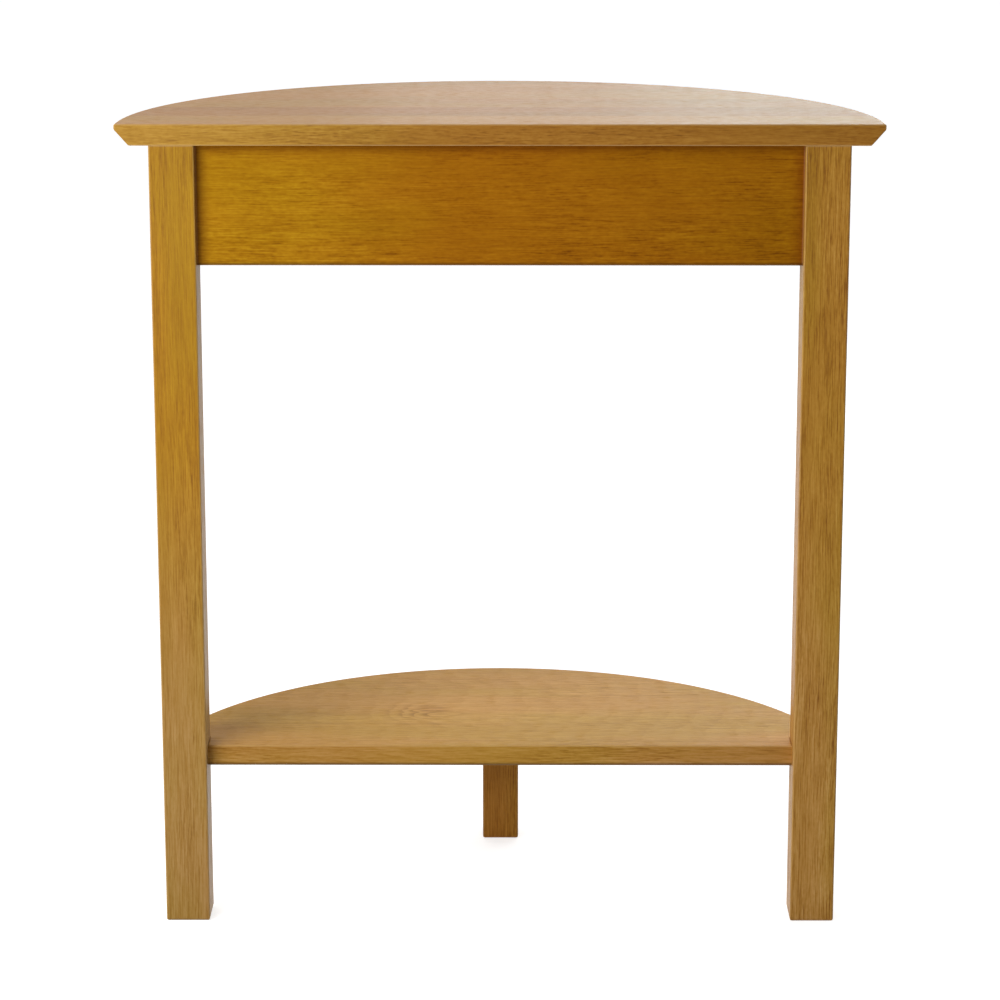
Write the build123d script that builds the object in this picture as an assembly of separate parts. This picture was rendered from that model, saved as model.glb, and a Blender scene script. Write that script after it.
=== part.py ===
from build123d import *
import math
import os

# Half-moon table. +X to the right along the straight edge, +Y towards the round edge, +Z up.
# The origin is on the floor, under the middle of the top's bounding box. All lengths are in millimetres.

# Top board
top_length = 640.0  # of the straight edge, and so the diameter of the round one
top_thickness = 18.0
table_height = 700.0
nose_height = 4.5  # the upright part of the round edge, above its bevel
nose_radius = 1.5
bevel_width = 12.0  # how far in the bevel under the round edge runs
bevel_rounding = 2.0  # of the bevel's two corners
board_arris = 1.0  # eased corners of boards and rails

# Long legs
leg_width = 38.0
leg_inset = 28.0  # of their outer faces, from the ends of the top
leg_setback = 2.0  # of their near faces, behind the straight edge
leg_arris = 1.5
foot_ease = 3.0  # rounding where a leg or the foot meets the floor

# Aprons
apron_height = 102.0
apron_thickness = 18.0
apron_setback = 8.5  # of their outer faces, behind the faces of the legs

# Corner blocks, set across the two aprons behind each leg
block_height = 80.0
block_thickness = 20.0
block_gap = 14.0  # from the leg's inner corner to the block
glue_gap = 0.1  # where a block or cleat meets the curved apron
block_screw_spacing = 66.0  # from the upper row to the lower one
block_screw_grip = 18.0  # wood between the screw's head and the apron
block_screw_share = 0.3  # of the block's thickness, where the screw leaves it

# Cleats that hold the top
cleat_size = 20.0
cleat_chamfer = 1.0
straight_cleat_gap = 94.0  # from a leg's inner face to the end of the straight cleat
curved_cleat_length = 70.0
curved_cleat_angle = 48.0  # degrees from the middle cleat to the side ones
straight_cleat_top_screw_inset = 40.0  # of its outer screws into the top, from its ends
straight_cleat_side_screw_inset = 60.0  # of its screws into the apron, from its ends
curved_cleat_top_screw_pitch = 44.0

# Shelf
shelf_top_height = 157.0
shelf_thickness = 18.0
shelf_setback = 13.0  # of its near edge, behind the near faces of the legs
shelf_inset = 66.0  # of its round edge's middle, inside the top's
shelf_corner_inset = 1.5  # of the round edge's ends, from the legs' outer faces
shelf_corner_rounding = 2.0

# Short foot under the shelf
foot_width = 33.0
foot_inset = 1.0  # from the shelf's round edge

# Wood screws, all alike
screw_length = 30.0
screw_radius = 2.0
screw_head_radius = 4.0
screw_head_height = 2.4
screw_tip_length = 5.0
screw_sink = 0.5  # of a head below the face of a cleat
screw_slot_width = 0.9
screw_slot_length = 4.4
screw_slot_depth = 1.4

# Hanger bolts and what goes on them
bolt_radius = 4.0
bolt_chamfer = 1.0
leg_bolt_length = 75.0
leg_bolt_grip = 28.0  # of its wood thread, in the leg
leg_bolt_spacing = 30.0  # from the upper bolt to the lower one
washer_radius = 8.0
washer_thickness = 1.6
nut_width = 13.0  # across flats
nut_thickness = 6.5
foot_bolt_length = 40.0
foot_bolt_grip = 27.0
insert_radius = 6.0
insert_length = 13.0

# Shelf dowels and cam fittings
dowel_radius = 4.0
dowel_length = 30.0
dowel_chamfer = 1.0
dowel_inset = 24.0  # from the leg's inner face to the dowel's axis
cam_inset = 10.0  # from the leg's inner face to the cam bolt's axis
cam_reach = 24.0  # from the shelf's back edge to the cam disc's axis
cam_radius = 7.5
cam_height = 12.5
cam_slot_width = 1.2
cam_slot_length = 9.0
cam_slot_depth = 2.5
cam_thread_radius = 3.0
cam_thread_length = 11.0
cam_body_radius = 3.5
cam_neck_radius = 2.0
cam_neck_length = 4.5
cam_head_radius = 3.4
cam_head_length = 3.5

# Clearances
fit_clearance = 0.1  # round a fastener in its hole
cam_clearance = 0.3  # round the cam bolt's head and neck
hole_relief = 1.0  # depth of a blind hole past the end of what it holds
overrun = 2.0  # of a cutting shape past the face it cuts

# Places that follow from the sizes above
top_radius = top_length / 2
edge_y = -top_radius / 2
top_underside = table_height - top_thickness
leg_outer_x = top_radius - leg_inset
leg_inner_x = leg_outer_x - leg_width
straight_cleat_length = 2 * (leg_inner_x - straight_cleat_gap)
straight_cleat_top_screw_pitch = straight_cleat_length / 2 - straight_cleat_top_screw_inset
straight_cleat_side_screw_pitch = straight_cleat_length - 2 * straight_cleat_side_screw_inset
leg_near_y = edge_y + leg_setback
leg_back_y = leg_near_y + leg_width
apron_bottom = top_underside - apron_height
apron_middle = top_underside - apron_height / 2
apron_near_y = leg_near_y + apron_setback
apron_back_y = apron_near_y + apron_thickness
curved_outer_radius = math.hypot(leg_outer_x - apron_setback, leg_back_y - edge_y)
curved_inner_radius = curved_outer_radius - apron_thickness
shelf_underside = shelf_top_height - shelf_thickness
shelf_middle = shelf_top_height - shelf_thickness / 2
shelf_near_y = leg_near_y + shelf_setback
shelf_far_y = edge_y + top_radius - shelf_inset
foot_middle_y = shelf_far_y - foot_inset - foot_width / 2
cam_y = leg_back_y + cam_reach
half_root = math.sqrt(2) / 2
cleat_turns = {"left": curved_cleat_angle, "centre": 0, "right": -curved_cleat_angle}


def spun(points):
    """A solid turned about its own Z axis from an outline of (radius, height) points."""
    return revolve(make_face(Plane.XZ * Polyline(*points, close=True)), axis=Axis.Z)


def screw_shape(clearance):
    """A countersunk wood screw, head at the origin and tip down, grown all round by a clearance."""
    shank = screw_radius + clearance
    head = screw_head_radius + clearance
    points = [
        (0, 0),
        (head, 0),
        (shank, -screw_head_height),
        (shank, screw_tip_length - screw_length),
        (0, -screw_length - clearance),
    ]
    return spun(points)


def wood_screw():
    """The screw itself, with a cross in its head."""
    slot = Box(screw_slot_length, screw_slot_width, 2 * screw_slot_depth)
    return screw_shape(0) - slot - Rot(Z=90) * slot


def screw_hole(bore_depth):
    """What a screw takes out of the wood: its own shape with clearance, and a bore down to its head."""
    return screw_shape(fit_clearance) + bore(screw_head_radius + fit_clearance, 0, bore_depth)


def pin(radius, length, bevel):
    """A round pin from the origin up, with both ends bevelled."""
    points = [
        (0, 0),
        (radius - bevel, 0),
        (radius, bevel),
        (radius, length - bevel),
        (radius - bevel, length),
        (0, length),
    ]
    return spun(points)


def bore(radius, start, end):
    """A round cutting shape on the Z axis, from one height to another."""
    return Pos(0, 0, start) * Cylinder(radius, end - start, align=(Align.CENTER, Align.CENTER, Align.MIN))


def bolt_hole(start, end):
    """A hole for a hanger bolt on the Z axis, from one height to another."""
    return bore(bolt_radius + fit_clearance, start, end)


def place(shape, plane):
    """The shape, moved from the ground frame to a plane's own frame."""
    return plane.location * shape


def corner(side, along, height):
    """A point at a height on the diagonal through a leg's inner corner, and its distance from there."""
    return Vector(side * (leg_inner_x - half_root * along), leg_back_y + half_root * along, height)


def rows(middle, spacing):
    """The two heights, or places, that lie a spacing apart about a middle."""
    return (middle - spacing / 2, middle + spacing / 2)


def leg_bolt_planes(side):
    """The axes of a leg's two hanger bolts, from the bolt's inner end outwards."""
    heights = rows(apron_middle, leg_bolt_spacing)
    return [Plane(corner(side, -leg_bolt_grip, z), z_dir=(-side, 1, 0)) for z in heights]


def straight_block_screw_planes(side):
    """The screws that go from a corner block into the straight apron."""
    along = block_gap + block_screw_share * block_thickness
    x = side * (leg_inner_x - 2 * half_root * along - (leg_back_y - apron_back_y))
    y = apron_back_y + block_screw_grip
    return [Plane((x, y, z), z_dir=(0, 1, 0)) for z in rows(apron_middle, block_screw_spacing)]


def curved_block_screw_planes(side):
    """The screws that go from a corner block into the curved apron, square to its inner face."""
    along = block_gap + block_screw_share * block_thickness
    start = corner(side, along, 0) - Vector(0, edge_y, 0)
    heading = Vector(side, 1, 0) * half_root
    half_span = start.dot(heading)
    reach = math.sqrt(half_span**2 + curved_inner_radius**2 - start.length**2) - half_span
    outward = (start + heading * reach).normalized()
    seat = outward * (curved_inner_radius - block_screw_grip) + Vector(0, edge_y, 0)
    return [Plane((seat.X, seat.Y, z), z_dir=outward * -1) for z in rows(apron_middle, block_screw_spacing)]


def block_screw_planes(side):
    """All the screws of one corner block."""
    return straight_block_screw_planes(side) + curved_block_screw_planes(side)


def cleat_frame(turn):
    """A plane where the curved apron's inner face meets the top: x along the face, y outwards, z up."""
    angle = math.radians(90 + turn)
    outward = Vector(math.cos(angle), math.sin(angle), 0)
    middle = outward * curved_inner_radius + Vector(0, edge_y, top_underside)
    return Plane(middle, x_dir=(outward.Y, -outward.X, 0), z_dir=(0, 0, 1))


def curved_cleat_side_screw_plane(turn):
    """The screw that holds a curved cleat to the apron."""
    frame = cleat_frame(turn)
    seat = frame.origin - frame.y_dir * (cleat_size - screw_sink) - frame.z_dir * (cleat_size / 2)
    return Plane(seat, z_dir=frame.y_dir * -1)


def curved_cleat_top_screw_planes(turn):
    """The screws that go up from a curved cleat into the top."""
    frame = cleat_frame(turn)
    seat = frame.origin - frame.y_dir * (cleat_size / 2) - frame.z_dir * (cleat_size - screw_sink)
    return [Plane(seat + frame.x_dir * x, z_dir=(0, 0, -1)) for x in rows(0, curved_cleat_top_screw_pitch)]


def straight_cleat_side_screw_planes():
    """The screws that hold the straight cleat to its apron."""
    y = apron_back_y + cleat_size - screw_sink
    z = top_underside - cleat_size / 2
    return [Plane((x, y, z), z_dir=(0, 1, 0)) for x in rows(0, straight_cleat_side_screw_pitch)]


def straight_cleat_top_screw_planes():
    """The screws that go up from the straight cleat into the top."""
    y = apron_back_y + cleat_size / 2
    z = top_underside - cleat_size + screw_sink
    places = [x * straight_cleat_top_screw_pitch for x in (-1, 0, 1)]
    return [Plane((x, y, z), z_dir=(0, 0, -1)) for x in places]


def top_screw_planes():
    """Every screw that goes up into the top."""
    planes = straight_cleat_top_screw_planes()
    for turn in cleat_turns.values():
        planes += curved_cleat_top_screw_planes(turn)
    return planes


def cleat_side_screw_planes():
    """Every screw that goes from a cleat into an apron."""
    curved = [curved_cleat_side_screw_plane(turn) for turn in cleat_turns.values()]
    return straight_cleat_side_screw_planes() + curved


def dowel_plane(side):
    """The axis of a shelf dowel, from its end in the leg outwards."""
    x = side * (leg_inner_x + dowel_inset)
    return Plane((x, leg_back_y - dowel_length / 2, shelf_middle), z_dir=(0, 1, 0))


def cam_bolt_plane(side):
    """The axis of a cam bolt, on the back face of its leg."""
    return Plane((side * (leg_inner_x + cam_inset), leg_back_y, shelf_middle), z_dir=(0, 1, 0))


def cut_screws(wood, planes, bore_depth=overrun):
    """Wood with the holes of the screws on some planes."""
    for plane in planes:
        wood = wood - place(screw_hole(bore_depth), plane)
    return wood


def make_top_board():
    """A half disc whose round edge is a short nose over a bevel, and whose straight edge is square."""
    points = [
        (0, top_underside),
        (top_radius - bevel_width, top_underside),
        (top_radius, table_height - nose_height),
        (top_radius, table_height),
        (0, table_height),
    ]
    section = make_face(Plane.XZ * Polyline(*points, close=True))
    for (radius, height), rounding in zip(points[1:4], (bevel_rounding, bevel_rounding, nose_radius)):
        section = fillet(section.vertices().sort_by_distance((radius, 0, height))[0], rounding)
    board = Pos(0, edge_y, 0) * revolve(section, axis=Axis.Z, revolution_arc=180)
    board = fillet(board.edges().group_by(Axis.Y)[0], board_arris)
    return cut_screws(board, top_screw_planes())


def make_post(width, length):
    """A square post from the floor up, with eased upright corners, rounded over at the floor."""
    side_view = Plane.XZ * Pos(0, length / 2) * Rectangle(width, length)
    side_view = fillet(side_view.vertices().group_by(Axis.Z)[0], foot_ease)
    rounded = extrude(side_view, width / 2, both=True)
    return extrude(RectangleRounded(width, width, leg_arris), length) & rounded & Rot(0, 0, 90) * rounded


def make_leg(side):
    """A long square leg, with holes for its hanger bolts and for the shelf's dowel and cam bolt."""
    leg = make_post(leg_width, top_underside)
    leg = Pos(side * (leg_inner_x + leg_width / 2), leg_near_y + leg_width / 2, 0) * leg
    for plane in leg_bolt_planes(side):
        leg = leg - place(bolt_hole(-hole_relief, leg_bolt_length), plane)
    leg = leg - place(bore(dowel_radius + fit_clearance, -hole_relief, dowel_length), dowel_plane(side))
    thread_bore = bore(cam_thread_radius + fit_clearance, -cam_thread_length - hole_relief, overrun)
    return leg - place(thread_bore, cam_bolt_plane(side))


def make_straight_apron():
    """The flat rail between the two legs, with its two lower corners eased."""
    rail = Box(2 * leg_inner_x, apron_thickness, apron_height, align=(Align.CENTER, Align.MIN, Align.MAX))
    rail = fillet(rail.edges().filter_by(Axis.X).group_by(Axis.Z)[0], board_arris)
    rail = Pos(0, apron_near_y, top_underside) * rail
    for side in (-1, 1):
        rail = cut_screws(rail, straight_block_screw_planes(side))
    return cut_screws(rail, straight_cleat_side_screw_planes())


def beyond(y):
    """The space on the round edge's side of a Y, as high as the aprons."""
    return Pos(0, y, apron_bottom) * Box(
        2 * top_length, top_length, apron_height, align=(Align.CENTER, Align.MIN, Align.MIN)
    )


def make_curved_apron():
    """The bent rail from the back of one leg to the back of the other, its two lower corners bevelled."""
    section = Plane.XZ * Pos(curved_inner_radius, apron_bottom) * Rectangle(
        apron_thickness, apron_height, align=(Align.MIN, Align.MIN)
    )
    section = chamfer(section.vertices().group_by(Axis.Z)[0], board_arris)
    rail = Pos(0, edge_y, 0) * revolve(section, axis=Axis.Z, revolution_arc=180)
    rail = rail & beyond(leg_back_y)
    for side in (-1, 1):
        rail = cut_screws(rail, curved_block_screw_planes(side))
    return cut_screws(rail, [curved_cleat_side_screw_plane(turn) for turn in cleat_turns.values()])


def inside_aprons():
    """The space between the two aprons, up to the top."""
    drum = Pos(0, edge_y, 0) * bore(curved_inner_radius - glue_gap, apron_bottom, top_underside)
    return drum & beyond(apron_back_y)


def make_corner_block(side):
    """A block set across the corner behind a leg, with its ends cut to the two aprons."""
    middle = corner(side, block_gap + block_thickness / 2, apron_middle)
    frame = Plane(middle, x_dir=(-side, 1, 0), z_dir=(0, 0, 1))
    block = place(Box(block_thickness, curved_inner_radius, block_height), frame) & inside_aprons()
    for plane in leg_bolt_planes(side):
        block = block - place(bolt_hole(0, leg_bolt_length + overrun), plane)
    return cut_screws(block, block_screw_planes(side), 2 * block_thickness)


def make_straight_top_cleat():
    """The strip along the straight apron, under the top."""
    cleat = Box(straight_cleat_length, cleat_size, cleat_size, align=(Align.CENTER, Align.MIN, Align.MAX))
    inner = cleat.edges().filter_by(Axis.X).group_by(Axis.Y)[-1].sort_by(Axis.Z)[0]
    cleat = Pos(0, apron_back_y, top_underside) * chamfer(inner, cleat_chamfer)
    cleat = cut_screws(cleat, straight_cleat_side_screw_planes())
    return cut_screws(cleat, straight_cleat_top_screw_planes())


def make_curved_top_cleat(turn):
    """A short block on the curved apron's inner face, under the top."""
    cleat = Box(
        curved_cleat_length, 2 * cleat_size, cleat_size, align=(Align.CENTER, Align.CENTER, Align.MAX)
    )
    inner = cleat.edges().filter_by(Axis.X).group_by(Axis.Y)[0].sort_by(Axis.Z)[0]
    cleat = place(chamfer(inner, cleat_chamfer), cleat_frame(turn)) & inside_aprons()
    cleat = cut_screws(cleat, [curved_cleat_side_screw_plane(turn)])
    return cut_screws(cleat, curved_cleat_top_screw_planes(turn))


def make_shelf():
    """A half-moon board, its arc from one leg's outer back corner to the other's, notched round both."""
    half_chord = leg_outer_x - shelf_corner_inset
    rise = shelf_far_y - leg_back_y
    radius = (half_chord**2 + rise**2) / (2 * rise)
    disc = Pos(0, shelf_far_y - radius) * Circle(radius)
    far = Pos(0, leg_back_y) * Rectangle(2 * leg_outer_x, rise + overrun, align=(Align.CENTER, Align.MIN))
    near = Pos(0, shelf_near_y) * Rectangle(2 * leg_inner_x, rise, align=(Align.CENTER, Align.MIN))
    outline = (far + near) & disc
    corners = outline.vertices().group_by(Axis.X)
    outline = fillet(corners[0] + corners[-1], shelf_corner_rounding)
    shelf = Pos(0, 0, shelf_underside) * extrude(outline, shelf_thickness)
    levels = shelf.edges().group_by(Axis.Z)
    shelf = fillet(levels[0] + levels[-1], board_arris)
    dowel_bore = bore(dowel_radius + fit_clearance, 0, dowel_length + hole_relief)
    body_bore = bore(cam_body_radius + fit_clearance, -overrun, cam_reach)
    pocket = bore(cam_radius + fit_clearance, -overrun, cam_height + hole_relief)
    for side in (-1, 1):
        shelf = shelf - place(dowel_bore, dowel_plane(side))
        shelf = shelf - place(body_bore, cam_bolt_plane(side))
        shelf = shelf - Pos(side * (leg_inner_x + cam_inset), cam_y, shelf_underside) * pocket
    insert_bore = bore(insert_radius + fit_clearance, -overrun, insert_length + hole_relief)
    return shelf - Pos(0, foot_middle_y, shelf_underside) * insert_bore


def make_front_foot():
    """The short square foot, with a hole for its hanger bolt."""
    foot = make_post(foot_width, shelf_underside)
    hole_end = shelf_underside - foot_bolt_grip - hole_relief
    return Pos(0, foot_middle_y, 0) * (foot - bolt_hole(hole_end, shelf_underside + overrun))


def make_leg_bolt():
    """A hanger bolt from its inner end up."""
    return pin(bolt_radius, leg_bolt_length, bolt_chamfer)


def make_washer():
    """A flat washer from the origin up."""
    return bore(washer_radius, 0, washer_thickness) - bolt_hole(-overrun, washer_thickness + overrun)


def make_nut():
    """A hexagon nut from the origin up, its corners turned down at both ends."""
    flats = extrude(RegularPolygon(nut_width / 2, 6, major_radius=False), nut_thickness)
    corners = nut_width / 2 / math.cos(math.radians(30))
    barrel = chamfer(bore(corners, 0, nut_thickness).edges(), corners - nut_width / 2)
    return (flats & barrel) - bolt_hole(-overrun, nut_thickness + overrun)


def make_foot_bolt():
    """The short foot's hanger bolt, in place."""
    bolt = pin(bolt_radius, foot_bolt_length, bolt_chamfer)
    return Pos(0, foot_middle_y, shelf_underside - foot_bolt_grip) * bolt


def make_foot_insert():
    """The threaded insert in the shelf's underside, in place."""
    sleeve = bore(insert_radius, 0, insert_length) - bolt_hole(-overrun, insert_length + overrun)
    return Pos(0, foot_middle_y, shelf_underside) * sleeve


def make_cam_bolt():
    """A cam bolt: its thread down into the leg, its body, neck and head up into the shelf."""
    head_start = cam_reach - cam_head_length / 2
    head_end = cam_reach + cam_head_length / 2
    points = [
        (0, -cam_thread_length),
        (cam_thread_radius, -cam_thread_length),
        (cam_thread_radius, 0),
        (cam_body_radius, 0),
        (cam_body_radius, head_start - cam_neck_length),
        (cam_neck_radius, head_start - cam_neck_length),
        (cam_neck_radius, head_start),
        (cam_head_radius, head_start),
        (cam_head_radius, head_end),
        (0, head_end),
    ]
    return spun(points)


def make_cam_disc(side):
    """A cam disc from the shelf's underside up, open round its cam bolt, with a cross in its lower face."""
    x = side * (leg_inner_x + cam_inset)
    disc = Pos(x, cam_y, shelf_underside) * bore(cam_radius, 0, cam_height)
    head_start = cam_reach - cam_head_length / 2
    neck = bore(cam_neck_radius + cam_clearance, 0, cam_reach)
    body = bore(cam_body_radius + cam_clearance, 0, head_start - cam_neck_length + cam_clearance)
    head = bore(cam_head_radius + cam_clearance, head_start - cam_clearance, cam_reach + cam_head_length)
    disc = disc - place(neck + body + head, cam_bolt_plane(side))
    slot = Box(cam_slot_length, cam_slot_width, 2 * cam_slot_depth)
    return disc - Pos(x, cam_y, shelf_underside) * (slot + Rot(Z=90) * slot)


def group(shapes):
    """Separate solids kept together in one node."""
    return Compound([solid for shape in shapes for solid in shape.solids()])


def leg_bolt_stack(shape, distance):
    """A copy of a shape on each leg bolt, at a distance from the leg's corner."""
    copies = []
    for side in (-1, 1):
        for plane in leg_bolt_planes(side):
            copies.append(place(Pos(0, 0, leg_bolt_grip + distance) * shape, plane))
    return group(copies)


def make_nodes():
    """Every piece of the table, by name."""
    sides = {"left": -1, "right": 1}
    dowel = pin(dowel_radius, dowel_length, dowel_chamfer)
    block_screws = [plane for side in sides.values() for plane in block_screw_planes(side)]
    nodes = {
        "top_board": make_top_board(),
        "straight_apron": make_straight_apron(),
        "curved_apron": make_curved_apron(),
        "shelf": make_shelf(),
        "front_foot": make_front_foot(),
        "straight_top_cleat": make_straight_top_cleat(),
        "corner_block_screws": group([place(wood_screw(), plane) for plane in block_screws]),
        "cleat_screws": group([place(wood_screw(), plane) for plane in cleat_side_screw_planes()]),
        "top_fixing_screws": group([place(wood_screw(), plane) for plane in top_screw_planes()]),
        "leg_hanger_bolts": leg_bolt_stack(make_leg_bolt(), -leg_bolt_grip),
        "leg_bolt_washers": leg_bolt_stack(make_washer(), block_gap + block_thickness),
        "leg_bolt_nuts": leg_bolt_stack(make_nut(), block_gap + block_thickness + washer_thickness),
        "shelf_dowels": group([place(dowel, dowel_plane(side)) for side in sides.values()]),
        "shelf_cam_bolts": group([place(make_cam_bolt(), cam_bolt_plane(side)) for side in sides.values()]),
        "shelf_cam_discs": group([make_cam_disc(side) for side in sides.values()]),
        "foot_hanger_bolt": make_foot_bolt(),
        "foot_insert_nut": make_foot_insert(),
    }
    for name, side in sides.items():
        nodes[f"{name}_leg"] = make_leg(side)
        nodes[f"{name}_corner_block"] = make_corner_block(side)
    for name, turn in cleat_turns.items():
        nodes[f"{name}_top_cleat"] = make_curved_top_cleat(turn)
    return nodes


os.makedirs("parts", exist_ok=True)
for node_name, node_shape in make_nodes().items():
    export_step(node_shape, f"parts/{node_name}.step")
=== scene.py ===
import math

import bpy
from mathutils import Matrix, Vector


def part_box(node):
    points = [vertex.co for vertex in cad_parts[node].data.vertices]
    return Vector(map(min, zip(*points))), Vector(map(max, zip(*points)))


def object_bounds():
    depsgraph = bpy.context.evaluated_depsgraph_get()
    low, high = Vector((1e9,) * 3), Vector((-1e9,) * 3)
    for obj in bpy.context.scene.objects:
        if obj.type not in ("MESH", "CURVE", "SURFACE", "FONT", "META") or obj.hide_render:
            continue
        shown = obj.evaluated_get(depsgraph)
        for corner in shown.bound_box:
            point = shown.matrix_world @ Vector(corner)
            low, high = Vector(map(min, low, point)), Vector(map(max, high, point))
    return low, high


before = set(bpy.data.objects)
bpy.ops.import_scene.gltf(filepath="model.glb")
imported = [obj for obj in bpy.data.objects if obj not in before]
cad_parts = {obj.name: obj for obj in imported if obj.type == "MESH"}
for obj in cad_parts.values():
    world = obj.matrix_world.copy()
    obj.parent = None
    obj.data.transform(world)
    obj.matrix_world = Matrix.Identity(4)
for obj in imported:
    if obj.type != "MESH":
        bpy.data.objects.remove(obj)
cad_low, cad_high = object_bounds()

# Lengths are in metres and colours in linear RGB.
# Each wood's colours by the value of its figure, from the darkest lines to the palest wood.
HONEY = [
    (0.0, (0.17, 0.058, 0.003)),
    (0.42, (0.36, 0.165, 0.014)),
    (0.72, (0.46, 0.235, 0.032)),
    (1.0, (0.55, 0.31, 0.06)),
]
RAW = [
    (0.0, (0.30, 0.17, 0.08)),
    (0.42, (0.52, 0.36, 0.20)),
    (0.72, (0.60, 0.44, 0.27)),
    (1.0, (0.68, 0.53, 0.36)),
]
BEECH = [
    (0.0, (0.38, 0.22, 0.12)),
    (0.42, (0.58, 0.40, 0.24)),
    (0.72, (0.64, 0.46, 0.29)),
    (1.0, (0.72, 0.55, 0.38)),
]

# Parts of the figure: how many features there are in a metre along, across and through the grain.
BEND = (3.0, 9.0, 9.0)
WANDER = (1.7, 26.0, 26.0)
SWIRL = (14.0, 55.0, 55.0)
STREAKS = (60.0, 800.0, 800.0)
BANDS = (4.0, 150.0, 150.0)
RIPPLE = (230.0, 520.0, 520.0)
DRIFT = (1.3, 8.0, 8.0)
PORES = (130.0, 1450.0, 1450.0)
LIVELINESS = (7.0, 26.0, 26.0)
OLIVE = (4.0, 16.0, 16.0)

# Rings, the whorl and the staves.
RING_WIDTH = 0.0042
RING_WANDER = 2.6  # in ring widths
SWIRL_MEAN = 2.2  # in ring widths
SWIRL_SPREAD = 8.0  # ring widths for a noise of 1
BEND_WIDTH = 0.010
WHORL_RADII = (0.030, 0.021)  # along and across
STAVE_TONE = 0.17
STAVE_SHIFT = 5.0  # staves come from places that lie up to this far apart
JOINT_STEP = (0.486, 0.496)  # from a stave's middle, in stave widths
SEED_SHIFT = 3.1
LATE_RISE = (0.25, 0.93)  # shares of a ring: late wood darkens slowly and ends fast
LATE_FALL = (1.0, 0.93)

# The mean value of the figure, and how far each part moves it.
MEAN_VALUE = 0.59
STREAK_DEPTH = 0.60
BAND_DEPTH = 0.36
RIPPLE_DEPTH = 0.45
LATE_WOOD_DEPTH = 0.06
PORE_DEPTH = 0.13
DRIFT_DEPTH = 0.28
JOINT_DEPTH = 0.14
KNOT_RINGS = 0.32
KNOT_BANDS = 0.45
KNOT_SHADE = 0.02
PORE_STEP = (0.07, 0.17)
LIVELY_STEP = (-0.16, 0.16)
LIVELY_LEAST = 0.75  # how strong the lines are where the wood is calm
LIVELY_MORE = 0.5  # and how much stronger where it is lively

# The surface of the wood. A tint multiplies the colour, and a step is the part of a value from
# low to high over which an effect sets in.
LEVEL_STEP = (0.5, 0.9)
END_GRAIN_STEP = (0.6, 0.95)
OLIVE_STEP = (-0.12, 0.16)
OLIVE_TINT = (0.93, 1.0, 0.7)
END_GRAIN_TINT = (0.72, 0.64, 0.52)
# Painted shade: a dark line along a piece's lower arris, as if its underside were in shadow.
UNDERSIDE_SHADE_TINT = (0.45, 0.45, 0.6)
UNDERSIDE_SHADE_STEP = (0.0034, 0.0012)  # heights over the lower arris
# Painted shade: darker under the piece above and at a piece's ends, where shadows fall.
CORNER_SHADE_TINT = (0.67, 0.51, 0.6)
CORNER_SHADE_STEP = (0.014, -0.002)  # distances from the corner
# Arrises lightened: partly wear and partly a painted highlight.
WORN_EDGE_HIGHLIGHT_COLOUR = (0.70, 0.47, 0.21)
WORN_EDGE_HIGHLIGHT_SHARE = 0.42
WORN_EDGE_HIGHLIGHT_WIDTH = 0.0016
SATIN_ROUGHNESS = 0.42
LACQUER_IOR = 1.42
PLANED_ROUGHNESS = 0.72
PLANED_END_TINT = (0.80, 0.74, 0.66)
PLANED_IOR = 1.45
WOOD_RELIEF = 0.0003

# The surface of the metal.
BLOOM_RATE = 160.0
DULL_SHARE = 0.72
PLATED_ROUGHNESS = 0.34
METAL_RELIEF = 0.0001

RAIL_THICKNESS = 0.018

# The photograph's viewpoint: right of the middle, in front of the straight edge and over the floor.
EYE = (0.0084672, 2.766496, 1.0485632)
TILT = 0.237  # down, in radians
TURN = 0.003
SENSOR_MM = 36.0
LENS_MM = 120.6144

FLOOR_REACH = 12.0
FLOOR_GREY = (0.70, 0.70, 0.70, 1.0)
FLOOR_GLOW = 0.72  # with the lamps' light, it makes the floor white
BACKDROP_STEP = (0.1, 0.75)  # of how far a direction points to the back
WHITE = (1.0, 1.0, 1.0, 1.0)


class Signal:
    """One value in a node tree. Arithmetic on it adds Math nodes."""

    def __init__(self, shader, socket):
        self.shader = shader
        self.socket = socket

    def math(self, operation, other=0.0):
        return self.shader.node("Math", {"operation": operation}, {0: self, 1: other})

    def __add__(self, other):
        return self.math("ADD", other)

    def __sub__(self, other):
        return self.math("SUBTRACT", other)

    def __mul__(self, other):
        return self.math("MULTIPLY", other)

    def __truediv__(self, other):
        return self.math("DIVIDE", other)

    def __rsub__(self, other):
        return self * -1.0 + other

    __radd__ = __add__
    __rmul__ = __mul__

    def smooth(self, low, high):
        """0 below low, 1 above high, and a soft step between. With low over high it falls."""
        settings = {"interpolation_type": "SMOOTHSTEP"}
        inputs = {"Value": self, "From Min": low, "From Max": high}
        return self.shader.node("MapRange", settings, inputs)


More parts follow.
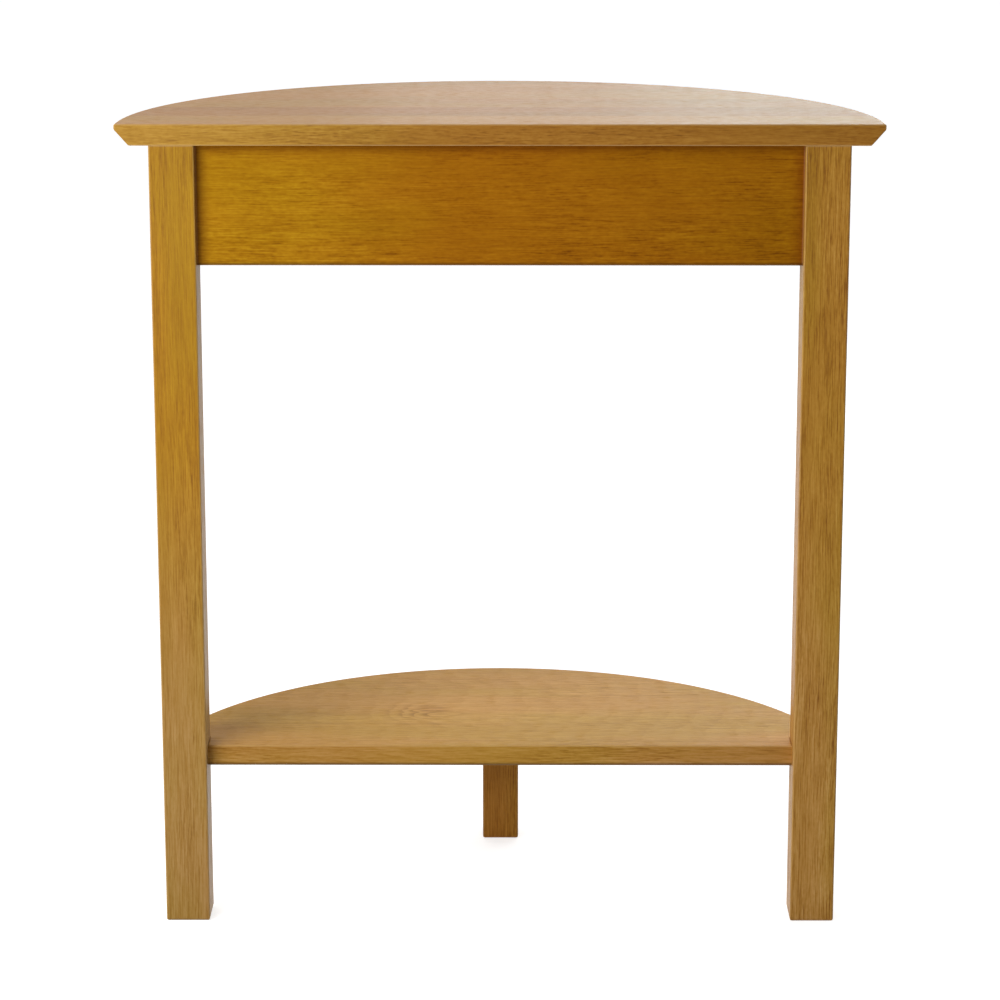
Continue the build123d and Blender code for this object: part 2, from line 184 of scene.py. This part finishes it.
class Shader:
    """The node tree of a material or of the world."""

    def __init__(self, owner):
        self.owner = owner
        owner.use_nodes = True
        self.tree = owner.node_tree
        self.tree.nodes.clear()

    def node(self, kind, settings, inputs, output=0):
        """Adds a node. An input that is a Signal is linked, and any other is set as a value."""
        made = self.tree.nodes.new("ShaderNode" + kind)
        for name, value in settings.items():
            setattr(made, name, value)
        for name, value in inputs.items():
            if isinstance(value, Signal):
                self.tree.links.new(value.socket, made.inputs[name])
            else:
                made.inputs[name].default_value = value
        return Signal(self, made.outputs[output])

    def ramp(self, value, stops):
        """The colour at a value, between stops that each have a place and a colour."""
        colour = self.node("ValToRGB", {}, {"Fac": value})
        elements = colour.socket.node.color_ramp.elements
        for element, (place, tint) in ((elements[0], stops[0]), (elements[1], stops[-1])):
            element.position = place
            element.color = (*tint, 1.0)
        for place, tint in stops[1:-1]:
            elements.new(place).color = (*tint, 1.0)
        return colour

    def noise(self, place, rates, detail=2.0, roughness=0.5, shift=0.0):
        """Noise about 0. rates are how many features there are in a metre on each axis."""
        axes = {axis: part * rate + shift for axis, part, rate in zip("XYZ", place, rates)}
        vector = self.node("CombineXYZ", {}, axes)
        inputs = {"Vector": vector, "Scale": 1.0, "Detail": detail, "Roughness": roughness}
        return self.node("TexNoise", {}, inputs) - 0.5

    def mix(self, colour, factor, other):
        """The colour, moved towards another by a factor."""
        settings = {"data_type": "RGBA"}
        return self.node("Mix", settings, {"Factor": factor, 6: colour, 7: (*other, 1.0)}, 2)

    def multiply(self, colour, factor, tint):
        """The colour, multiplied by a tint as far as a factor says."""
        settings = {"data_type": "RGBA", "blend_type": "MULTIPLY"}
        return self.node("Mix", settings, {"Factor": factor, 6: colour, 7: (*tint, 1.0)}, 2)

    def bump(self, height, strength, distance):
        inputs = {"Strength": strength, "Distance": distance, "Height": height}
        return self.node("Bump", {}, inputs)

    def principled(self, inputs):
        return self.finish(self.node("BsdfPrincipled", {}, inputs))

    def finish(self, surface, kind="Material"):
        output = self.tree.nodes.new("ShaderNodeOutput" + kind)
        self.tree.links.new(surface.socket, output.inputs["Surface"])
        return self.owner


def new_shader(name):
    return Shader(bpy.data.materials.new(name))


def object_axes(shader):
    """The three Object coordinates, in metres."""
    place = shader.node("TexCoord", {}, {}, "Object")
    return [shader.node("SeparateXYZ", {}, {0: place}, axis) for axis in "XYZ"]


def facing(shader, axis):
    """How far the surface faces along an axis, from -1 to 1."""
    return shader.node("SeparateXYZ", {}, {0: shader.node("TexCoord", {}, {}, "Normal")}, axis)


def end_grain(shader, ends):
    """1 where the surface is cut across the grain: where it faces along the axis named ends."""
    return facing(shader, ends).math("ABSOLUTE").smooth(*END_GRAIN_STEP)


# How the grain lies in a piece: x, y and z turned into along, across and through the grain.
def lengthwise(axes):
    return axes


def rail_wise(axes):
    return [axes[0], axes[2], axes[1]]


def upright(axes):
    return [axes[2], axes[0], axes[1]]


def dowel_wise(axes):
    return [axes[1], axes[0], axes[2]]


def worn_and_highlit_edge(first, second, third, width):
    """1 on an edge and 0 away from it: the second smallest of three distances, under a width."""
    smaller = first.math("MINIMUM", second)
    larger = first.math("MAXIMUM", second)
    return smaller.math("MAXIMUM", larger.math("MINIMUM", third)).smooth(width, 0.0)


def depth_between(value, low, high):
    """How far in from the nearer of two limits a coordinate lies."""
    return (high - low) / 2 - (value - (low + high) / 2).math("ABSOLUTE")


def box_distances(axes, node):
    """How far in from a node's box each coordinate lies."""
    return [depth_between(axis, low, high) for axis, low, high in zip(axes, *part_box(node))]


def level_distance(z, node):
    """How far in from a node's top and bottom a height lies."""
    low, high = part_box(node)
    return depth_between(z, low.z, high.z)


def distance_from(x, y, centre_y):
    """The level distance from the upright line through x = 0 and a y."""
    return ((y - centre_y).math("POWER", 2.0) + x.math("POWER", 2.0)).math("SQRT")


def disc_distances(axes, node, centre_y, radius):
    """How far in from a half-moon board's round edge, near edge and two faces a point lies."""
    x, y, z = axes
    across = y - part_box(node)[0].y
    return [radius - distance_from(x, y, centre_y), across, level_distance(z, node)]


def bent_distances(axes, node, centre_y, outer):
    """How far in from a bent rail's two round faces and its two edges a point lies."""
    x, y, z = axes
    away = distance_from(x, y, centre_y)
    return [outer - away, away - (outer - RAIL_THICKNESS), level_distance(z, node)]


def drawn_out(rates, length):
    """The rates of a part of the figure whose features are longer by a factor."""
    along, across, through = rates
    return (along / length, across, through)


def figure(
    shader, place, seed, pith,
    contrast=1.0, ruffle=RIPPLE_DEPTH, length=1.0, stave=None, whorl=None,
):
    """The wood's own pattern in a solid block, as a value about 0.6, its pores and its streaks.

    Rings go round a pith, which is given by its place across and through, and by its lean.
    contrast strengthens the lines, ruffle is the depth of the ripple across them, and length draws
    out the streaks and pores. Staves glued edge to edge differ in tone: stave is their width and
    the place of one joint. A whorl, given by its place along and across, is where the rings twist
    beside an old branch, and it fades with exp(-distance squared).
    """
    along, across, through = place
    near = 0.0
    swirl = 0.0
    if whorl:
        aside_along = ((along - whorl[0]) / WHORL_RADII[0]).math("POWER", 2.0)
        aside_across = ((across - whorl[1]) / WHORL_RADII[1]).math("POWER", 2.0)
        near = ((aside_along + aside_across) * -1.0).math("EXPONENT")
        swirl = shader.noise(place, SWIRL, 1.0, shift=seed + 8.0) * SWIRL_SPREAD + SWIRL_MEAN
    along = along + seed * SEED_SHIFT
    tone = 0.0
    joint = 0.0
    if stave:
        width, first_joint = stave
        row = ((across - first_joint) / width).math("FLOOR")
        share = ((across - first_joint) / width).math("FRACT")
        luck = shader.node("TexWhiteNoise", {"noise_dimensions": "1D"}, {"W": row + seed})
        along = along + luck * STAVE_SHIFT
        tone = (luck - 0.5) * STAVE_TONE
        joint = (share - 0.5).math("ABSOLUTE").smooth(*JOINT_STEP)
    bend = shader.noise((along, across, through), BEND, 1.0, shift=seed)
    across = across + bend * BEND_WIDTH
    grain = (along, across, through)

    pith_across, pith_through, lean = pith
    off_across = (across - pith_across).math("POWER", 2.0)
    off_through = (through - pith_through + along * lean).math("POWER", 2.0)
    rings_out = (off_across + off_through).math("SQRT") / RING_WIDTH
    wander = shader.noise(grain, WANDER, shift=seed + 4.0)
    ring = (rings_out + wander * RING_WANDER + near * swirl).math("FRACT")
    late = ring.smooth(*LATE_RISE) * ring.smooth(*LATE_FALL)

    streak = shader.noise(grain, drawn_out(STREAKS, length), 1.0, shift=seed + 1.0)
    band = shader.noise(grain, BANDS, shift=seed + 7.0)
    ripple = shader.noise(grain, RIPPLE, 1.0, shift=seed + 2.0)
    drift = shader.noise(grain, DRIFT, 1.0, shift=seed + 3.0)
    fleck = shader.noise(grain, drawn_out(PORES, length), 0.0, shift=seed + 5.0)
    pore = (fleck + late * 0.03 + streak * -0.20).smooth(*PORE_STEP)
    lively = shader.noise(place, LIVELINESS, 1.0, shift=seed + 6.0).smooth(*LIVELY_STEP)
    strength = lively * LIVELY_MORE + LIVELY_LEAST

    lines = streak * STREAK_DEPTH + band * BAND_DEPTH + ripple * ruffle
    lines = (lines - late * LATE_WOOD_DEPTH - pore * PORE_DEPTH) * strength
    knot = (late * KNOT_RINGS - band * KNOT_BANDS + KNOT_SHADE) * near
    value = MEAN_VALUE + lines * contrast + drift * DRIFT_DEPTH + tone - joint * JOINT_DEPTH - knot
    return value, pore, streak


def lacquered_wood(
    name, grain, ends, distances, seed, pith,
    side=(1.0, 1.0, 1.0), face=(1.0, 1.0, 1.0), contrast=1.0, calm=0.35,
    paleness=0.5, ior=LACQUER_IOR, painted_falloff=None, arris=None, corner=None, **pattern,
):
    """Honey-stained wood under a satin lacquer.

    grain turns the three coordinates into along, across and through, and ends names the axis that
    the end grain faces. distances gives how far in from the piece's faces a point lies. side and
    face tint the upright sides and the upper face: this is painted light, one wood coloured apart
    by which way it faces, for how the light falls on it. calm is how much weaker the lines are on
    that face. The lacquer reflects white at a glance. Straight on its reflection is deep amber at
    a paleness of 0 and nearly white at 1. deeper is painted light and shade along the piece: a
    stretch along the grain over which the colour changes as the light falls off, the tint past it
    and how much of it the upper face takes. arris is the height of a lower arris along which a
    dark line of painted shade runs. corner is the height at which another piece meets the top of
    this one: painted shade darkens this piece there and at its ends. The rest goes to figure.
    """
    shader = new_shader(name)
    axes = object_axes(shader)
    place = grain(axes)
    level = facing(shader, "Z").smooth(*LEVEL_STEP)
    contrast = (1.0 - level * calm) * contrast
    value, pore, streak = figure(shader, place, seed, pith, contrast, **pattern)
    colour = shader.ramp(value, HONEY)
    olive = shader.noise(place, OLIVE, shift=seed + 9.0).smooth(*OLIVE_STEP)
    colour = shader.multiply(colour, olive, OLIVE_TINT)
    # Painted light: the upright sides and the upper face of the same wood take their own tints.
    colour = shader.multiply(colour, 1.0 - level, side)
    colour = shader.multiply(colour, level, face)
    # Painted light and shade: the colour changes along the piece as the lamps' light falls off.
    if painted_falloff:
        stretch, tint, over_face = painted_falloff
        past = place[0].smooth(*stretch)
        colour = shader.multiply(colour, past * (1.0 - level * (1.0 - over_face)), tint)
    colour = shader.multiply(colour, end_grain(shader, ends), END_GRAIN_TINT)
    # Partly wear and partly a painted highlight: the arrises are lightened.
    edge = worn_and_highlit_edge(*distances(axes), WORN_EDGE_HIGHLIGHT_WIDTH)
    colour = shader.mix(colour, edge * WORN_EDGE_HIGHLIGHT_SHARE, WORN_EDGE_HIGHLIGHT_COLOUR)
    # Painted shade: a dark line along the lower arris.
    if arris is not None:
        painted_underside_shade = (axes[2] - arris).smooth(*UNDERSIDE_SHADE_STEP)
        colour = shader.multiply(colour, painted_underside_shade, UNDERSIDE_SHADE_TINT)
    # Painted shade: darker under the piece above and at this piece's ends.
    if corner is not None:
        painted_corner_shade = distances(axes)[0].math("MINIMUM", corner - axes[2])
        colour = shader.multiply(colour, painted_corner_shade.smooth(*CORNER_SHADE_STEP), CORNER_SHADE_TINT)
    return shader.principled({
        "Base Color": colour,
        "Roughness": SATIN_ROUGHNESS + pore * 0.16 + streak * 0.10 - edge * 0.06,
        "Normal": shader.bump(streak * 0.35 - pore * 0.8, 0.22, WOOD_RELIEF),
        "IOR": ior,
        "Specular Tint": (1.0, 0.45 + paleness / 2, paleness, 1.0),
    })


def bare_wood(name, grain, ends, stops, seed, pith):
    """Planed wood with no finish."""
    shader = new_shader(name)
    value, pore, streak = figure(shader, grain(object_axes(shader)), seed, pith)
    colour = shader.ramp(value, stops)
    colour = shader.multiply(colour, end_grain(shader, ends), PLANED_END_TINT)
    return shader.principled({
        "Base Color": colour,
        "Roughness": PLANED_ROUGHNESS + pore * 0.1,
        "Normal": shader.bump(streak * 0.5 - pore * 0.6, 0.4, WOOD_RELIEF),
        "IOR": PLANED_IOR,
    })


def plated_metal(name, tint, mark_rate):
    """Bright metal with a fine cloudy bloom and faint marks, of which a metre holds mark_rate."""
    shader = new_shader(name)
    axes = object_axes(shader)
    bloom = shader.noise(axes, [BLOOM_RATE] * 3, detail=3.0, roughness=0.6)
    marks = shader.noise(axes, [mark_rate] * 3, shift=3.0)
    cloud = (0.5 + bloom * 0.9).math("MINIMUM", 1.0)
    dull = [part * DULL_SHARE for part in tint]
    return shader.principled({
        "Base Color": shader.ramp(cloud, [(0.0, dull), (1.0, tint)]),
        "Metallic": 1.0,
        "Roughness": PLATED_ROUGHNESS + bloom * 0.3,
        "Normal": shader.bump(marks, 0.25, METAL_RELIEF),
    })


def paint(node, material):
    """Puts a material on a CAD node."""
    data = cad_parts[node].data
    if not data.materials:
        data.materials.append(material)
    for index in range(len(data.materials)):
        data.materials[index] = material


def base_of(node):
    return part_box(node)[0].z


def box_of(node):
    return lambda axes: box_distances(axes, node)


def paint_boards():
    """The top and the shelf, with their grain along the straight edge."""
    top_low, top_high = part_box("top_board")
    shelf_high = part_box("shelf")[1]
    rise = shelf_high.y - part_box("left_leg")[1].y
    shelf_radius = (shelf_high.x**2 + rise**2) / (2 * rise)

    def top_rim(axes):
        return disc_distances(axes, "top_board", top_low.y, top_high.x)

    def shelf_rim(axes):
        return disc_distances(axes, "shelf", shelf_high.y - shelf_radius, shelf_radius)

    # Painted shade: the top's sides darken towards the right.
    top = lacquered_wood(
        "top_wood", lengthwise, "X", top_rim, seed=1.7, pith=(0.02, 0.66, 0.10),
        side=(0.97, 1.09, 1.3), face=(1.12, 1.0, 0.8), calm=0.65, ruffle=0.35,
        stave=(0.058, 0.014), painted_falloff=((-0.24, 0.0), (0.80, 0.63, 0.46), 0.0),
    )
    paint("top_board", top)
    # Painted light: the shelf lightens towards the right, and a dark line of painted shade runs
    # along its lower arris.
    shelf = lacquered_wood(
        "shelf_wood", lengthwise, "X", shelf_rim, seed=5.2, pith=(-0.03, 0.12, 0.16),
        side=(1.06, 1.11, 2.5), face=(1.21, 1.25, 1.8), contrast=0.9, calm=0.15, ruffle=0.25,
        length=1.6, paleness=0.7, ior=1.14, stave=(0.052, -0.027), whorl=(-0.066, -0.046),
        painted_falloff=((-0.22, -0.02), (1.17, 1.17, 1.3), 1.0), arris=base_of("shelf"),
    )
    paint("shelf", shelf)


def paint_aprons():
    """The straight apron, and the bent one with its grain round the bend."""
    top_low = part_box("top_board")[0]
    # Painted shade: the apron darkens towards the right, along its lower arris, under the top and
    # at its ends.
    straight = lacquered_wood(
        "apron_wood", rail_wise, "X", box_of("straight_apron"), seed=9.4, pith=(0.60, -0.26, 0.05),
        side=(0.83, 0.74, 0.17), contrast=1.1, length=1.5, paleness=0.1,
        painted_falloff=((-0.2, -0.02), (0.85, 0.69, 0.5), 0.0),
        arris=base_of("straight_apron"), corner=top_low.z,
    )
    paint("straight_apron", straight)

    centre_y = top_low.y
    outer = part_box("curved_apron")[1].y - centre_y

    def bent_rim(axes):
        return bent_distances(axes, "curved_apron", centre_y, outer)

    def round_the_bend(axes):
        """Along the bent rail's middle line, up it, and through its thickness."""
        x, y, z = axes
        angle = x.math("ARCTAN2", y - centre_y)
        return [angle * (outer - RAIL_THICKNESS / 2), z, distance_from(x, y, centre_y)]

    bent = lacquered_wood(
        "bent_apron_wood", round_the_bend, "Z", bent_rim, seed=3.9, pith=(0.62, 0.2, 0.05),
    )
    paint("curved_apron", bent)


def paint_posts():
    """The legs and the foot. Each has a tint, and over a stretch of height a second one sets in.
    The two together are painted light: below the stretch the legs are paler and bluer, as if lit by
    the white floor.
    """
    stretch = (0.15, 0.45)
    for node, seed, pith, tint, second_tint, contrast in (
        ("left_leg", 12.6, (-0.36, -0.17, 0.02), (0.91, 1.02, 2.5), (0.945, 0.805, 0.09), 1.05),
        ("right_leg", 16.4, (0.35, -0.08, 0.02), (1.07, 1.09, 1.9), (0.92, 0.86, 0.5), 1.5),
        ("front_foot", 18.1, (0.05, 0.02, 0.02), (1.12, 0.93, 0.86), (1.0, 1.0, 1.0), 1.4),
    ):
        # Painted light: the first tint pales and blues the lower legs, and the second tint takes
        # that back above the stretch.
        wood = lacquered_wood(
            node + "_wood", upright, "Z", box_of(node), seed, pith,
            side=tint, contrast=contrast, ruffle=0.22, length=2.0,
            painted_falloff=(stretch, second_tint, 0.0),
        )
        paint(node, wood)


def paint_hidden_wood():
    for index, node in enumerate(["left_corner_block", "right_corner_block"]):
        paint(node, bare_wood(node + "_wood", upright, "Z", RAW, 21.0 + index, (0.0, -0.3, 0.02)))
    cleats = ["straight_top_cleat", "left_top_cleat", "centre_top_cleat", "right_top_cleat"]
    for index, node in enumerate(cleats):
        paint(node, bare_wood(node + "_wood", lengthwise, "X", RAW, 31.0 + index, (0.0, 0.5, 0.02)))
    paint("shelf_dowels", bare_wood("dowel_wood", dowel_wise, "Y", BEECH, 41.0, (0.0, 0.0, 0.02)))


def paint_metal():
    zinc = plated_metal("zinc_plate", (0.72, 0.73, 0.74), 2400.0)
    cast = plated_metal("cast_zinc", (0.55, 0.55, 0.56), 900.0)
    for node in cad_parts:
        if node.endswith(("screws", "bolts", "bolt", "washers", "nuts", "nut")):
            paint(node, zinc)
    paint("shelf_cam_discs", cast)


def white_to_eye(shader):
    """1 for the rays that show the background: from the camera, from gloss and through glass."""
    kinds = ["Is Camera Ray", "Is Glossy Ray", "Is Transmission Ray"]
    camera, gloss, glass = [shader.node("LightPath", {}, {}, kind) for kind in kinds]
    return camera.math("MAXIMUM", gloss).math("MAXIMUM", glass)


def make_floor():
    """A wide flat floor, white to the camera, that keeps the table's shadow."""
    signs = [(-1, -1), (1, -1), (1, 1), (-1, 1)]
    corners = [(x * FLOOR_REACH, y * FLOOR_REACH, 0.0) for x, y in signs]
    mesh = bpy.data.meshes.new("floor")
    mesh.from_pydata(corners, [], [[0, 1, 2, 3]])
    floor = bpy.data.objects.new("floor", mesh)
    bpy.context.scene.collection.objects.link(floor)
    shader = new_shader("white_floor")
    glow_strength = white_to_eye(shader) * FLOOR_GLOW
    lit = shader.node("BsdfDiffuse", {}, {"Color": FLOOR_GREY})
    glow = shader.node("Emission", {}, {"Color": WHITE, "Strength": glow_strength})
    mesh.materials.append(shader.finish(shader.node("AddShader", {}, {0: lit, 1: glow})))


def make_world(front, back):
    """White where it is seen. It lights the table as a room with a pale wall behind the table.

    front and back are the strengths before and behind it.
    """
    world = bpy.data.worlds.new("studio")
    bpy.context.scene.world = world
    shader = Shader(world)
    heading = shader.node("SeparateXYZ", {}, {0: shader.node("TexCoord", {}, {}, "Generated")}, "Y")
    room = heading.smooth(*BACKDROP_STEP) * (back - front) + front
    strength = room + white_to_eye(shader) * (1.0 - room)
    shader.finish(shader.node("Background", {}, {"Color": WHITE, "Strength": strength}), "World")


def softbox(name, place, target, size, power, tint=(1.0, 1.0, 1.0)):
    """A rectangular lamp that points at a target and isn't seen itself. power is in watts."""
    lamp = bpy.data.lights.new(name, "AREA")
    lamp.shape = "RECTANGLE"
    lamp.size, lamp.size_y = size
    lamp.energy = power
    lamp.color = tint
    box = bpy.data.objects.new(name, lamp)
    box.location = place
    box.rotation_euler = (Vector(target) - Vector(place)).to_track_quat("-Z", "Y").to_euler()
    box.visible_camera = False
    bpy.context.scene.collection.objects.link(box)


def make_lamps():
    """A key lamp at the front left, and two behind that show as a sheen on the upper faces."""
    softbox("key_lamp", (-1.0, -1.2, 1.0), (-0.1, -0.1, 0.45), size=(1.1, 1.1), power=24.5)
    softbox("glare_lamp", (0.87, 2.4, 1.05), (0.2, 0.0, 0.7), size=(2.25, 0.6), power=8.2)
    softbox(
        "right_lamp", (0.95, 2.4, 1.05), (0.2, 0.0, 0.7),
        size=(1.5, 0.6), power=5.2, tint=(0.66, 1.0, 1.06),
    )


def make_camera():
    """A long lens a little above the top, looking down at the straight side."""
    right, before, above = EYE
    data = bpy.data.cameras.new("camera")
    data.sensor_width = SENSOR_MM
    data.lens = LENS_MM
    camera = bpy.data.objects.new("camera", data)
    camera.location = (right, cad_low.y - before, above)
    camera.rotation_euler = (math.pi / 2 - TILT, 0.0, TURN)
    bpy.context.scene.collection.objects.link(camera)
    bpy.context.scene.camera = camera


paint_boards()
paint_aprons()
paint_posts()
paint_hidden_wood()
paint_metal()
make_floor()
make_world(front=0.1, back=1.6)
make_lamps()
make_camera()
bpy.context.scene.view_settings.view_transform = "Standard"
